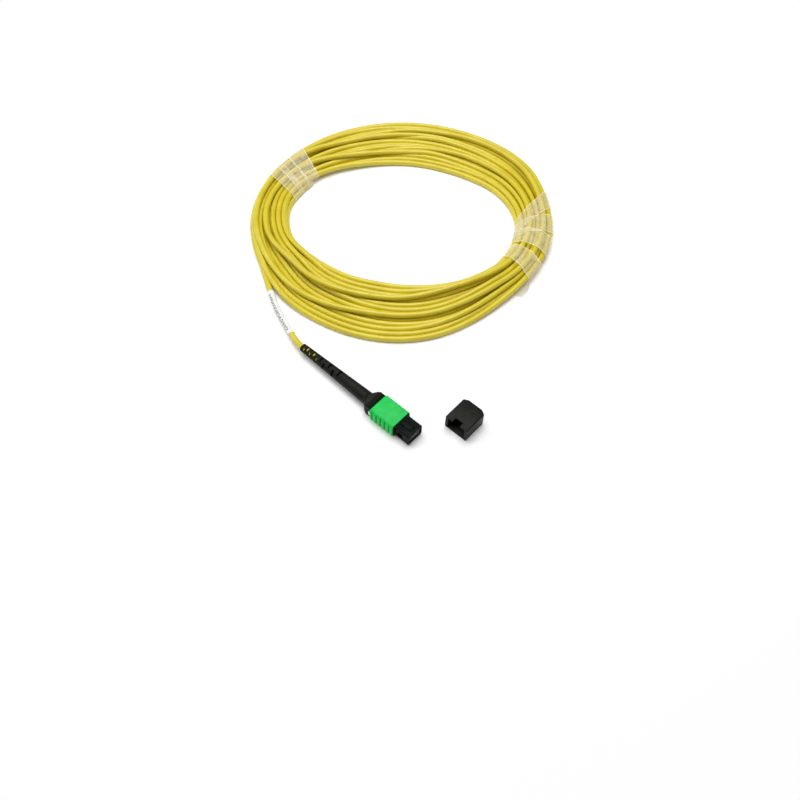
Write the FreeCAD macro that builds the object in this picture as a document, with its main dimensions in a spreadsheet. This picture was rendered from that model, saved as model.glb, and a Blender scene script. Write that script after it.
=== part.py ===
"""MPO fibre pigtail: a 12-fibre push-pull plug on a tied coil of round cable, its dust cap beside it.

The plug lies along X with its tip towards +X. Z = 0 is the surface that everything lies on, and
the origin is there, below the middle of the grip sleeve.
"""
import FreeCAD, Part
import math
import os
import Sketcher

VEC = FreeCAD.Vector

# name, millimetres (or degrees, or a plain count), what it is
SIZES = [
    ("sleeve_length", 14.2, "grip sleeve along the plug"),
    ("sleeve_width", 12.4, "grip sleeve across"),
    ("sleeve_height", 7.8, "grip sleeve, flat underside to flat top"),
    ("sleeve_side_wall", 0.9, "wall at the ribbed sides"),
    ("sleeve_top_wall", 0.6, "wall at the flat top and underside"),
    ("sleeve_corner", 1.8, "radius of the four long edges"),
    ("sleeve_bevel", 0.35, "bevel round the sleeve's rear end"),
    ("slide_gap", 0.06, "running clearance of the sleeve on the housing"),
    ("sleeve_travel", 2.0, "how far the sleeve is pulled back to unlatch"),
    ("rib_count", 5, "finger grooves in each side"),
    ("rib_pitch", 2.6, "from groove to groove"),
    ("rib_gap", 1.0, "width of a groove"),
    ("rib_depth", 0.6, "depth of a groove"),
    ("lug_length", 1.6, "inner lug that pushes the side spring"),
    ("lug_height", 1.5, "inner lug, up and down"),
    ("nose_reach", 8.9, "tip of the housing beyond the sleeve"),
    ("nose_width", 9.2, "plug nose across"),
    ("nose_edge", 0.5, "radius of the nose's long edges"),
    ("collar_reach", 0.8, "wide part of the housing beyond the sleeve"),
    ("key_width", 3.0, "key rib on top of the nose"),
    ("key_height", 0.7, "key rib above the nose"),
    ("key_length", 6.4, "key rib from the collar"),
    ("pocket_length", 2.2, "pocket in the nose's top at each side of the key"),
    ("pocket_width", 1.5, "pocket across"),
    ("pocket_depth", 0.4, "pocket, down"),
    ("latch_length", 3.2, "recess in each nose side for the adapter's latch"),
    ("latch_height", 3.6, "latch recess, up and down"),
    ("latch_depth", 0.7, "latch recess into the side"),
    ("latch_from_tip", 3.6, "solid ramp between the tip and the recess"),
    ("housing_tail", 1.5, "housing behind the sleeve"),
    ("side_spring_pressed", 4.8, "room for a side spring with the sleeve pulled back"),
    ("channel_height", 1.9, "side channel, up and down"),
    ("channel_depth", 1.15, "side channel into the housing"),
    ("channel_from_front", 1.5, "sleeve's front edge to the channel's front end"),
    ("mouth_width", 7.8, "shallow recess round the ferrule in the tip"),
    ("mouth_height", 4.2, "recess in the tip, up and down"),
    ("mouth_depth", 1.2, "recess in the tip"),
    ("aperture_gap", 0.12, "clearance round the ferrule in its window"),
    ("cavity_width", 7.3, "chamber for ferrule, keeper and spring"),
    ("cavity_height", 4.6, "chamber, up and down"),
    ("bay_width", 8.9, "wider rear bay for the latch arms"),
    ("bay_length", 5.0, "rear bay along the plug"),
    ("ferrule_width", 6.4, "MT ferrule across"),
    ("ferrule_height", 2.5, "MT ferrule, up and down"),
    ("ferrule_length", 8.0, "MT ferrule along the plug"),
    ("ferrule_recess", 0.3, "end face behind the housing's tip"),
    ("flange_width", 7.0, "rear flange of the ferrule"),
    ("flange_height", 3.0, "rear flange, up and down"),
    ("flange_length", 2.0, "rear flange along the plug"),
    ("face_angle", 8.0, "angled polish of the end face"),
    ("guide_hole", 0.7, "bore for a guide pin"),
    ("guide_pitch", 4.6, "between the two guide holes"),
    ("fibre_count", 12, "fibres in the ribbon"),
    ("fibre_diameter", 0.125, "glass cladding"),
    ("fibre_pitch", 0.25, "between fibres"),
    ("boot_slot_width", 3.6, "rear opening of the ferrule"),
    ("boot_slot_height", 1.3, "rear opening, up and down"),
    ("boot_slot_depth", 3.2, "rear opening, depth"),
    ("window_length", 1.9, "glue window in the ferrule's top"),
    ("window_width", 3.2, "glue window across"),
    ("ferrule_travel", 1.0, "how far the ferrule is pushed back by its mate"),
    ("seat_gap", 0.05, "clearance at a seat that a moving piece leaves"),
    ("keeper_length", 2.1, "pin keeper along the plug"),
    ("keeper_height", 4.2, "pin keeper, up and down"),
    ("boot_collar_width", 4.8, "elastomer boot behind the ferrule, across"),
    ("boot_collar_height", 2.1, "elastomer boot behind the ferrule, up and down"),
    ("ribbon_reach", 1.3, "ribbon inside the ferrule, before the bare glass"),
    ("ribbon_width", 3.1, "flat fibre ribbon"),
    ("ribbon_height", 0.32, "flat fibre ribbon, up and down"),
    ("spring_width", 6.3, "oval ferrule spring across"),
    ("spring_height", 3.9, "oval ferrule spring, up and down"),
    ("spring_wire", 0.5, "ferrule spring wire"),
    ("spring_turns", 5, "turns of the ferrule spring"),
    ("side_spring_diameter", 1.0, "side spring outside"),
    ("side_spring_wire", 0.22, "side spring wire"),
    ("side_spring_turns", 7, "turns of a side spring"),
    ("rear_flange", 1.8, "rear body's flange along the plug"),
    ("core_width", 6.6, "rear body's spring seat across"),
    ("core_height", 4.3, "rear body's spring seat, up and down"),
    ("ferrule_spring_pressed", 8.25, "room for the ferrule spring with the ferrule pushed back"),
    ("arm_length", 4.2, "latch arms of the rear body"),
    ("arm_thickness", 0.7, "latch arm"),
    ("arm_height", 2.2, "latch arm, up and down"),
    ("hook_length", 1.2, "hook at the end of a latch arm"),
    ("hook_reach", 0.55, "hook beyond the arm"),
    ("barrel_diameter", 4.0, "crimp barrel outside"),
    ("barrel_bore", 3.3, "crimp barrel inside"),
    ("barrel_length", 4.8, "crimp barrel"),
    ("yarn_wall", 0.3, "aramid yarn folded over the barrel"),
    ("crimp_wall", 0.35, "crimp ring wall"),
    ("crimp_neck", 2.6, "narrow end of the crimp ring on the jacket"),
    ("jacket_start", 0.3, "barrel's end to the cut jacket"),
    ("boot_clearance", 0.1, "boot over the crimp ring and the cable"),
    ("shoulder_length", 2.8, "flared base of the boot"),
    ("boot_length", 44.3, "tapered part of the boot"),
    ("boot_head", 6.7, "boot at the flare"),
    ("flare_corner", 0.9, "corner radius of the flare where it meets the housing"),
    ("flare_round", 3.3, "corner radius of the flare where it turns into the round taper"),
    ("boot_tail", 4.1, "boot at its thin end"),
    ("slot_count", 10, "flex slots"),
    ("slot_gap", 1.1, "width of a slot"),
    ("slot_first", 2.0, "thin end to the first slot"),
    ("slot_pitch", 1.9, "first slot to the second"),
    ("slot_growth", 0.175, "how much each pitch grows"),
    ("slot_bridge", 0.95, "wall left at each side of a slot"),
    ("boot_roll", 24.0, "the boot's slots are turned this far about the cable"),
    ("slot_turn", 30.0, "slots lean this far to either side of that, in turn"),
    ("cable_diameter", 3.0, "round cable"),
    ("label_wall", 0.2, "wrapped label on the cable"),
    ("coil_centre_x", -80.8, "middle of the coil"),
    ("coil_centre_y", 97.0, "middle of the coil"),
    ("coil_turn", 40.84, "long axis of the coil's opening, turned from X"),
    ("coil_radius", 83.0, "outside of the coil"),
    ("hole_half_long", 63.0, "opening, along its long axis"),
    ("hole_half_short", 46.5, "opening, along its short axis"),
    ("hole_end_radius", 36.0, "opening's bend at its two ends"),
    ("coil_height", 7.4, "thickness of the coil"),
    ("coil_corner", 1.8, "bevel of the coil's section"),
    ("film_wall", 0.3, "clear film wrapped round the coil"),
    ("tie_left_from", 132.0, "left tie starts, from the long axis"),
    ("tie_left_span", 28.0, "left tie, along the coil"),
    ("tie_right_from", -29.0, "right tie starts, from the long axis"),
    ("tie_right_span", 41.0, "right tie, along the coil"),
    ("cap_x", 27.3, "middle of the dust cap's mouth"),
    ("cap_y", 15.25, "dust cap's mouth"),
    ("cap_width", 12.6, "dust cap across"),
    ("cap_height", 8.6, "dust cap, up and down"),
    ("cap_length", 13.7, "dust cap, mouth to closed end"),
    ("cap_depth", 9.6, "inside of the cap"),
    ("cap_gap", 0.2, "cap round the nose"),
    ("cap_corner_across", 2.4, "cut-off corners of the closed end, across"),
    ("cap_corner_along", 1.3, "cut-off corners of the closed end, along"),
    ("cap_edge", 0.7, "rounding of the cap's long edges"),
    ("cap_notch_width", 4.2, "notch for the key in the mouth's top edge"),
    ("cap_notch_length", 2.2, "notch for the key, from the mouth"),
    ("cap_channel_gap", 0.25, "channel beside and above the key"),
]

# The cable from inside the boot to the coil: x, y, and the height of its middle
LEAD_ROUTE = [
    (-61.5, 0.0, 3.9),
    (-74.0, 4.4, 2.6),
    (-105.0, 17.0, 1.75),
    (-125.9, 28.7, 2.0),
    (-137.7, 40.8, 3.4),
]

# The boot's flare: share of its length, share of the way from the housing's outline to the round
FLARE = [(0.0, 0.0), (0.35, 0.1), (0.7, 0.6), (1.0, 1.0)]

CLOSED_PITCH = 1.15  # from turn to turn at a spring's ends, in wires
WIRE_SIDES = 6
FIBRE_SIDES = 8

doc = FreeCAD.newDocument("mpo_pigtail")
sheet = doc.addObject("Spreadsheet::Sheet", "size")


def fill_sheet():
    for row, (name, amount, note) in enumerate(SIZES, start=1):
        sheet.set(f"A{row}", name)
        sheet.set(f"B{row}", str(amount))
        sheet.set(f"C{row}", note)
        sheet.setAlias(f"B{row}", name)
    doc.recompute()


fill_sheet()

# Lengths that follow from the sheet, as expressions
AXIS_HEIGHT = "size.sleeve_height / 2"
SLEEVE_FRONT = "size.sleeve_length / 2"
TUNNEL_WIDTH = "(size.sleeve_width - 2 * size.sleeve_side_wall)"
TUNNEL_HEIGHT = "(size.sleeve_height - 2 * size.sleeve_top_wall)"
HOUSING_WIDTH = f"({TUNNEL_WIDTH} - 2 * size.slide_gap)"
HOUSING_HEIGHT = f"({TUNNEL_HEIGHT} - 2 * size.slide_gap)"
HOUSING_REAR = "(-size.sleeve_length / 2 - size.housing_tail)"
COLLAR_FRONT = "(size.sleeve_length / 2 + size.collar_reach)"
TIP = "(size.sleeve_length / 2 + size.nose_reach)"
CHANNEL_FRONT = "(size.sleeve_length / 2 - size.channel_from_front)"
CHANNEL_LENGTH = "(size.lug_length + size.sleeve_travel + size.side_spring_pressed)"
CHANNEL_REAR = f"({CHANNEL_FRONT} - {CHANNEL_LENGTH})"
FACE = f"({TIP} - size.ferrule_recess)"
FERRULE_REAR = f"({FACE} - size.ferrule_length)"
FLANGE_FRONT = f"({FERRULE_REAR} + size.flange_length)"
CAVITY_FRONT = f"({FLANGE_FRONT} + size.seat_gap)"
KEEPER_REAR = f"({FERRULE_REAR} - size.seat_gap - size.keeper_length)"
CORE_FRONT = f"({KEEPER_REAR} - size.ferrule_travel - size.ferrule_spring_pressed)"
REAR_BACK = f"({HOUSING_REAR} - size.rear_flange)"
BARREL_END = f"({REAR_BACK} - size.barrel_length)"
JACKET_START = f"({BARREL_END} - size.jacket_start)"
YARN_DIAMETER = "(size.barrel_diameter + 2 * size.yarn_wall)"
CRIMP_DIAMETER = f"({YARN_DIAMETER} + 2 * size.crimp_wall)"
CRIMP_END = f"({JACKET_START} - size.crimp_neck)"
TAPER_START = f"({REAR_BACK} - size.shoulder_length)"
BOOT_END = f"({TAPER_START} - size.boot_length)"
FIBRE_START = f"({FERRULE_REAR} + size.ribbon_reach)"
HOOK_REAR = f"({HOUSING_REAR} + size.arm_length - size.hook_length)"


def value(expression):
    """The number that an expression on the sheet comes to."""
    amount = sheet.evalExpression(expression)
    return float(getattr(amount, "Value", amount))


# ---------------------------------------------------------------- tools for building


def new_body(label, height=AXIS_HEIGHT):
    body = doc.addObject("PartDesign::Body", label)
    body.Label = label
    body.setExpression("Placement.Base.z", height)
    return body


def origin_feature(body, role):
    return next(item for item in body.Origin.OriginFeatures if item.Role == role)


def new_sketch(body, name, role="YZ_Plane", offset="0", lean=0.0):
    """A sketch on one of the body's own planes, moved along its normal and leaned about X."""
    sketch = body.newObject("Sketcher::SketchObject", name)
    sketch.AttachmentSupport = (origin_feature(body, role), [""])
    sketch.MapMode = "FlatFace"
    turn = FreeCAD.Rotation(VEC(1, 0, 0), lean)
    sketch.AttachmentOffset = FreeCAD.Placement(VEC(0, 0, 0), turn)
    sketch.setExpression("AttachmentOffset.Base.z", offset)
    return sketch


def bind(sketch, kind, places, expression):
    """Add a driving dimension and tie it to the sheet."""
    index = sketch.addConstraint(Sketcher.Constraint(kind, *places, value(expression)))
    sketch.setExpression(f"Constraints[{index}]", expression)


def draw_rectangle(sketch, wide, high, across="0", up="0"):
    half_wide, half_high = value(wide) / 2, value(high) / 2
    middle = VEC(value(across), value(up), 0)
    signs = [(-1, -1), (1, -1), (1, 1), (-1, 1)]
    corners = [middle + VEC(a * half_wide, b * half_high, 0) for a, b in signs]
    first = sketch.GeometryCount
    for index in range(4):
        sketch.addGeometry(Part.LineSegment(corners[index], corners[(index + 1) % 4]))
    for index in range(4):
        ends = (first + index, 2, first + (index + 1) % 4, 1)
        sketch.addConstraint(Sketcher.Constraint("Coincident", *ends))
        way = "Vertical" if index % 2 else "Horizontal"
        sketch.addConstraint(Sketcher.Constraint(way, first + index))
    bind(sketch, "DistanceX", (first, 1, first, 2), wide)
    bind(sketch, "DistanceY", (first + 1, 1, first + 1, 2), high)
    bind(sketch, "DistanceX", (-1, 1, first, 1), f"{across} - ({wide}) / 2")
    bind(sketch, "DistanceY", (-1, 1, first, 1), f"{up} - ({high}) / 2")


def draw_circle(sketch, diameter, across="0", up="0"):
    middle = VEC(value(across), value(up), 0)
    circle = Part.Circle(middle, VEC(0, 0, 1), value(diameter) / 2)
    index = sketch.addGeometry(circle)
    bind(sketch, "Diameter", (index,), diameter)
    bind(sketch, "DistanceX", (-1, 1, index, 3), across)
    bind(sketch, "DistanceY", (-1, 1, index, 3), up)


def draw_polygon(sketch, points):
    """A closed outline through points that are pairs of expressions."""
    spots = [VEC(value(across), value(up), 0) for across, up in points]
    first = sketch.GeometryCount
    count = len(points)
    for index in range(count):
        sketch.addGeometry(Part.LineSegment(spots[index], spots[(index + 1) % count]))
    for index, (across, up) in enumerate(points):
        ends = (first + index, 2, first + (index + 1) % count, 1)
        sketch.addConstraint(Sketcher.Constraint("Coincident", *ends))
        bind(sketch, "DistanceX", (-1, 1, first + index, 1), across)
        bind(sketch, "DistanceY", (-1, 1, first + index, 1), up)


def draw_fibre(sketch):
    """The outermost fibre of the row, with few sides because it is so thin."""
    middle = "-(size.fibre_count - 1) * size.fibre_pitch / 2"
    corners = []
    for step in range(FIBRE_SIDES):
        angle = 2 * math.pi * step / FIBRE_SIDES
        across, up = round(math.cos(angle) / 2, 5), round(math.sin(angle) / 2, 5)
        corners.append((f"{middle} + {across} * size.fibre_diameter", f"{up} * size.fibre_diameter"))
    draw_polygon(sketch, corners)


def draw_rounded(sketch, wide, high, radius):
    """A rectangle about the middle whose corners are arcs."""
    half_wide, half_high, round_off = value(wide) / 2, value(high) / 2, value(radius)
    first = sketch.GeometryCount
    signs = [(1, -1), (1, 1), (-1, 1), (-1, -1)]
    middles = [VEC(a * (half_wide - round_off), b * (half_high - round_off), 0) for a, b in signs]
    for index, middle in enumerate(middles):
        start = math.radians(-90 + 90 * index)
        circle = Part.Circle(middle, VEC(0, 0, 1), round_off)
        sketch.addGeometry(Part.ArcOfCircle(circle, start, start + math.pi / 2))
    for index in range(4):
        leave = sketch.Geometry[first + index].EndPoint
        arrive = sketch.Geometry[first + (index + 1) % 4].StartPoint
        sketch.addGeometry(Part.LineSegment(leave, arrive))
    for index in range(4):
        line, following = first + 4 + index, first + (index + 1) % 4
        sketch.addConstraint(Sketcher.Constraint("Tangent", first + index, 2, line, 1))
        sketch.addConstraint(Sketcher.Constraint("Tangent", line, 2, following, 1))
        way = "Vertical" if index % 2 == 0 else "Horizontal"
        sketch.addConstraint(Sketcher.Constraint(way, line))
    for index in range(1, 4):
        sketch.addConstraint(Sketcher.Constraint("Equal", first, first + index))
    bind(sketch, "Radius", (first,), radius)
    bind(sketch, "DistanceX", (-1, 1, first, 3), f"({wide}) / 2 - {radius}")
    bind(sketch, "DistanceY", (-1, 1, first + 1, 3), f"({high}) / 2 - {radius}")
    bind(sketch, "DistanceX", (first + 2, 3, first + 1, 3), f"({wide}) - 2 * {radius}")
    bind(sketch, "DistanceY", (first, 3, first + 1, 3), f"({high}) - 2 * {radius}")


def extrude(body, sketch, length, cut=False, onwards=True):
    """Pad, or pocket, the sketch along its own normal, or pocket it against the normal."""
    kind = "PartDesign::Pocket" if cut else "PartDesign::Pad"
    feature = body.newObject(kind, sketch.Name + ("_cut" if cut else "_pad"))
    feature.Profile = sketch
    feature.setExpression("Length", length)
    feature.Reversed = cut and onwards
    return feature


def block(body, name, at, length, wide, high, across="0", up="0", cut=False):
    """A rectangular length of the plug, from the station 'at' towards the tip."""
    sketch = new_sketch(body, name, offset=at)
    draw_rectangle(sketch, wide, high, across, up)
    return extrude(body, sketch, length, cut)


def drum(body, name, at, length, diameter, cut=False):
    """A round length about the plug's axis, from the station 'at' towards the tip."""
    sketch = new_sketch(body, name, offset=at)
    draw_circle(sketch, diameter)
    return extrude(body, sketch, length, cut)


def through(body, sketch):
    """Cut the sketch right through the body, both ways."""
    feature = body.newObject("PartDesign::Pocket", sketch.Name + "_cut")
    feature.Profile = sketch
    feature.Type = 1
    feature.Midplane = True
    return feature


def row_of(body, feature, role, length, count):
    """Repeat a feature along an axis of the body."""
    pattern = body.newObject("PartDesign::LinearPattern", feature.Name + "_row")
    pattern.Originals = [feature]
    pattern.Direction = (origin_feature(body, role), [""])
    pattern.setExpression("Length", length)
    pattern.setExpression("Occurrences", count)
    body.Tip = pattern
    return pattern


def long_edges(shape, along, keep=lambda middle: True):
    """Names of the straight edges that run along a direction and pass the test."""
    names = []
    for index, edge in enumerate(shape.Edges, start=1):
        if len(edge.Vertexes) != 2 or edge.Curve.TypeId != "Part::GeomLine":
            continue
        way = (edge.Vertexes[1].Point - edge.Vertexes[0].Point).normalize()
        if abs(way.dot(along)) > 0.999 and keep(edge.CenterOfMass):
            names.append(f"Edge{index}")
    return names


def round_edges(body, base, names, radius, kind="PartDesign::Fillet"):
    feature = body.newObject(kind, base.Name + "_edges")
    feature.Base = (base, names)
    feature.setExpression("Radius" if kind.endswith("Fillet") else "Size", radius)
    return feature


def smooth_path(points):
    """Straight runs through the points, joined by the largest tangent arcs they allow."""
    edges, radii = [], []
    start = points[0]
    for before, corner, after in zip(points, points[1:], points[2:]):
        back, ahead = before - corner, after - corner
        reach = 0.45 * min(back.Length, ahead.Length)
        turn = math.pi - back.getAngle(ahead)
        radius = reach / math.tan(turn / 2)
        back.normalize()
        ahead.normalize()
        inwards = (back + ahead).normalize()
        enter, leave = corner + back * reach, corner + ahead * reach
        nearest = corner + inwards * (radius / math.cos(turn / 2) - radius)
        edges.append(Part.LineSegment(start, enter).toShape())
        edges.append(Part.Arc(enter, nearest, leave).toShape())
        radii.append(radius)
        start = leave
    edges.append(Part.LineSegment(start, points[-1]).toShape())
    return Part.Wire(edges), radii


def ring_wire(path, diameter):
    """A circle square to the start of a path."""
    edge = path.OrderedEdges[0]
    way = edge.tangentAt(edge.FirstParameter)
    return Part.Wire(Part.makeCircle(diameter / 2, edge.valueAt(edge.FirstParameter), way))


def sweep(path, diameter):
    return path.makePipeShell([ring_wire(path, diameter)], True, False)


def sweep_wire(points, diameter):
    """A six-sided wire mitred through the points: light enough for a spring."""
    way = (points[1] - points[0]).normalize()
    turn = FreeCAD.Rotation(VEC(0, 0, 1), way)
    rim = []
    for step in range(WIRE_SIDES + 1):
        angle = 2 * math.pi * step / WIRE_SIDES
        spoke = VEC(math.cos(angle), math.sin(angle), 0) * (diameter / 2)
        rim.append(points[0] + turn.multVec(spoke))
    mitred = 1
    return Part.makePolygon(points).makePipeShell([Part.makePolygon(rim)], True, False, mitred)


def new_feature(label, shape):
    feature = doc.addObject("Part::Feature", label)
    feature.Label = label
    feature.Shape = shape
    return feature


# ---------------------------------------------------------------- the plug's rigid pieces


def is_rim(edge):
    """Whether an edge lies in the sleeve's rear end."""
    return edge.BoundBox.XMax < value("-size.sleeve_length / 2") + 0.001


def make_coupling_sleeve():
    """Push-pull grip: a flat tunnel with finger grooves that wrap its rounded sides."""
    body = new_body("coupling_sleeve")
    rear = "-size.sleeve_length / 2"
    shell = block(body, "shell", rear, "size.sleeve_length", "size.sleeve_width", "size.sleeve_height")
    doc.recompute()
    edges = long_edges(shell.Shape, VEC(1, 0, 0))
    round_edges(body, shell, edges, "size.sleeve_corner")
    grooves = new_sketch(body, "grooves", "XY_Plane")
    first = "-(size.rib_count - 1) * size.rib_pitch / 2"
    for side in ("-", ""):
        middle = f"{side}size.sleeve_width / 2"
        draw_rectangle(grooves, "size.rib_gap", "2 * size.rib_depth", first, middle)
    groove = through(body, grooves)
    doc.recompute()
    row = row_of(body, groove, "X_Axis", "(size.rib_count - 1) * size.rib_pitch", "size.rib_count")
    doc.recompute()
    rear_edges = [f"Edge{index}" for index, edge in enumerate(row.Shape.Edges, start=1) if is_rim(edge)]
    round_edges(body, row, rear_edges, "size.sleeve_bevel", "PartDesign::Chamfer")
    block(body, "tunnel", rear, "size.sleeve_length", TUNNEL_WIDTH, TUNNEL_HEIGHT, cut=True)
    lugs = new_sketch(body, "lugs", offset=f"{CHANNEL_FRONT} - size.seat_gap - size.lug_length")
    reach = "(size.channel_depth - size.slide_gap)"
    for side in ("-", ""):
        middle = f"{side}({TUNNEL_WIDTH} - {reach} + size.seat_gap) / 2"
        draw_rectangle(lugs, f"{reach} + size.seat_gap", "size.lug_height", middle)
    extrude(body, lugs, "size.lug_length")


def make_inner_housing():
    """Plug frame: keyed nose, collar, spring channels, ferrule window and rear bay."""
    body = new_body("inner_housing")
    length = f"{COLLAR_FRONT} - {HOUSING_REAR}"
    block(body, "frame", HOUSING_REAR, length, HOUSING_WIDTH, HOUSING_HEIGHT)
    reach = f"{TIP} - {COLLAR_FRONT}"
    nose = block(body, "nose", COLLAR_FRONT, reach, "size.nose_width", HOUSING_HEIGHT)
    doc.recompute()
    collar = value(COLLAR_FRONT)
    edges = long_edges(nose.Shape, VEC(1, 0, 0), lambda spot: spot.x > collar)
    round_edges(body, nose, edges, "size.nose_edge")
    top = f"{HOUSING_HEIGHT} / 2"
    rise = "2 * size.key_height"
    block(body, "key", COLLAR_FRONT, "size.key_length", "size.key_width", rise, up=top)
    channels = new_sketch(body, "channels", offset=CHANNEL_REAR)
    latches = new_sketch(body, "latches", offset=f"{TIP} - size.latch_from_tip - size.latch_length")
    windows = new_sketch(body, "hook_windows", offset=f"{HOOK_REAR} - size.seat_gap")
    pockets = new_sketch(body, "pockets", offset=COLLAR_FRONT)
    wall = f"{HOUSING_WIDTH} - size.bay_width + 2 * size.seat_gap"
    for side in ("-", ""):
        outside = f"{side}{HOUSING_WIDTH} / 2"
        nose_side = f"{side}size.nose_width / 2"
        draw_rectangle(channels, "2 * size.channel_depth", "size.channel_height", outside)
        draw_rectangle(latches, "2 * size.latch_depth", "size.latch_height", nose_side)
        draw_rectangle(windows, wall, "size.arm_height + 4 * size.seat_gap", outside)
        beside = f"{side}(size.key_width + size.pocket_width) / 2"
        draw_rectangle(pockets, "size.pocket_width", "2 * size.pocket_depth", beside, top)
    extrude(body, channels, CHANNEL_LENGTH, cut=True)
    extrude(body, latches, "size.latch_length", cut=True)
    extrude(body, windows, "size.hook_length + 2 * size.seat_gap", cut=True)
    extrude(body, pockets, "size.pocket_length", cut=True)
    reach = f"{CAVITY_FRONT} - {HOUSING_REAR}"
    block(body, "cavity", HOUSING_REAR, reach, "size.cavity_width", "size.cavity_height", cut=True)
    block(body, "bay", HOUSING_REAR, "size.bay_length", "size.bay_width", "size.cavity_height", cut=True)
    wide = "size.ferrule_width + 2 * size.aperture_gap"
    high = "size.ferrule_height + 2 * size.aperture_gap"
    block(body, "window", CAVITY_FRONT, f"{TIP} - {CAVITY_FRONT}", wide, high, cut=True)
    at = f"{TIP} - size.mouth_depth"
    block(body, "mouth", at, "size.mouth_depth", "size.mouth_width", "size.mouth_height", cut=True)


def make_rear_body():
    """Spring push: flange, spring seat, two hooked latch arms and the crimp barrel."""
    body = new_body("rear_body")
    block(body, "flange", REAR_BACK, "size.rear_flange", HOUSING_WIDTH, HOUSING_HEIGHT)
    reach = f"{CORE_FRONT} - {HOUSING_REAR}"
    block(body, "core", HOUSING_REAR, reach, "size.core_width", "size.core_height")
    arms = new_sketch(body, "arms", offset=HOUSING_REAR)
    hooks = new_sketch(body, "hooks", offset=HOOK_REAR)
    outer = "(size.bay_width / 2 - 2 * size.seat_gap)"
    wide = "(size.hook_reach + size.arm_thickness)"
    for side in ("-", ""):
        arm = f"{side}({outer} - size.arm_thickness / 2)"
        draw_rectangle(arms, "size.arm_thickness", "size.arm_height", arm)
        draw_rectangle(hooks, wide, "size.arm_height", f"{side}({outer} + size.hook_reach - {wide} / 2)")
    extrude(body, arms, "size.arm_length")
    extrude(body, hooks, "size.hook_length")
    drum(body, "barrel", BARREL_END, "size.barrel_length", "size.barrel_diameter")
    drum(body, "bore", BARREL_END, f"{CORE_FRONT} - {BARREL_END}", "size.barrel_bore", cut=True)


def make_crimp_ring():
    """Metal ring crimped over the yarn, with a narrow neck on the jacket."""
    body = new_body("crimp_ring")
    step = f"({JACKET_START} - size.crimp_wall)"
    drum(body, "wide", step, f"{REAR_BACK} - {step}", CRIMP_DIAMETER)
    drum(body, "neck", CRIMP_END, "size.crimp_neck", "size.cable_diameter + 2 * size.crimp_wall")
    drum(body, "yarn_space", JACKET_START, f"{REAR_BACK} - {JACKET_START}", YARN_DIAMETER, cut=True)
    drum(body, "jacket_space", CRIMP_END, "size.crimp_neck", "size.cable_diameter", cut=True)


def make_aramid_yarn():
    body = new_body("aramid_yarn")
    drum(body, "yarn", BARREL_END, "size.barrel_length", YARN_DIAMETER)
    drum(body, "barrel_space", BARREL_END, "size.barrel_length", "size.barrel_diameter", cut=True)


def taper_diameter(distance):
    """Outside of the boot at a distance from its thin end."""
    slope = "(size.boot_head - size.boot_tail) / size.boot_length"
    return f"(size.boot_tail + ({distance}) * {slope})"


def make_strain_relief_boot():
    """Long tapered boot with a flared, flat-topped base and through slots that turn in turn."""
    body = new_body("strain_relief_boot")
    cone = new_sketch(body, "cone", "XZ_Plane")
    corners = [
        (BOOT_END, "0"),
        (TAPER_START, "0"),
        (TAPER_START, "size.boot_head / 2"),
        (BOOT_END, "size.boot_tail / 2"),
    ]
    draw_polygon(cone, corners)
    taper = body.newObject("PartDesign::Revolution", "taper")
    taper.Profile = cone
    taper.ReferenceAxis = (origin_feature(body, "X_Axis"), [""])
    sections = []
    for index, (along, rounding) in enumerate(FLARE):
        at = f"{REAR_BACK} - {along} * size.shoulder_length"
        sketch = new_sketch(body, f"flare_{index}", offset=at)
        wide = f"{HOUSING_WIDTH} + {rounding} * (size.boot_head - {HOUSING_WIDTH})"
        high = f"{HOUSING_HEIGHT} + {rounding} * (size.boot_head - {HOUSING_HEIGHT})"
        corner = f"size.flare_corner + {rounding} * (size.flare_round - size.flare_corner)"
        draw_rounded(sketch, wide, high, f"({corner})")
        sections.append(sketch)
    flare = body.newObject("PartDesign::AdditiveLoft", "flare")
    flare.Profile = sections[0]
    flare.Sections = sections[1:]
    flare.Ruled = True
    doc.recompute()
    for name, first in (("slots_right", 0), ("slots_left", 1)):
        lean = value("size.boot_roll") + value("size.slot_turn") * (1 - 2 * first)
        slots = new_sketch(body, name, "XY_Plane", lean=lean)
        for index in range(first, int(value("size.slot_count")), 2):
            step = f"({index} * size.slot_pitch + {index * (index - 1) // 2} * size.slot_growth)"
            distance = f"(size.slot_first + {step})"
            across = f"{taper_diameter(distance)} - 2 * size.slot_bridge"
            draw_rectangle(slots, "size.slot_gap", across, f"{BOOT_END} + {distance}")
        through(body, slots)
        doc.recompute()
    crimp_room = f"{REAR_BACK} - {CRIMP_END} + size.boot_clearance"
    wide = f"{CRIMP_DIAMETER} + 2 * size.boot_clearance"
    drum(body, "crimp_room", f"{CRIMP_END} - size.boot_clearance", crimp_room, wide, cut=True)
    bore = "size.cable_diameter + 2 * size.boot_clearance"
    drum(body, "cable_bore", BOOT_END, "size.boot_length", bore, cut=True)


# ---------------------------------------------------------------- the floating ferrule


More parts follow.
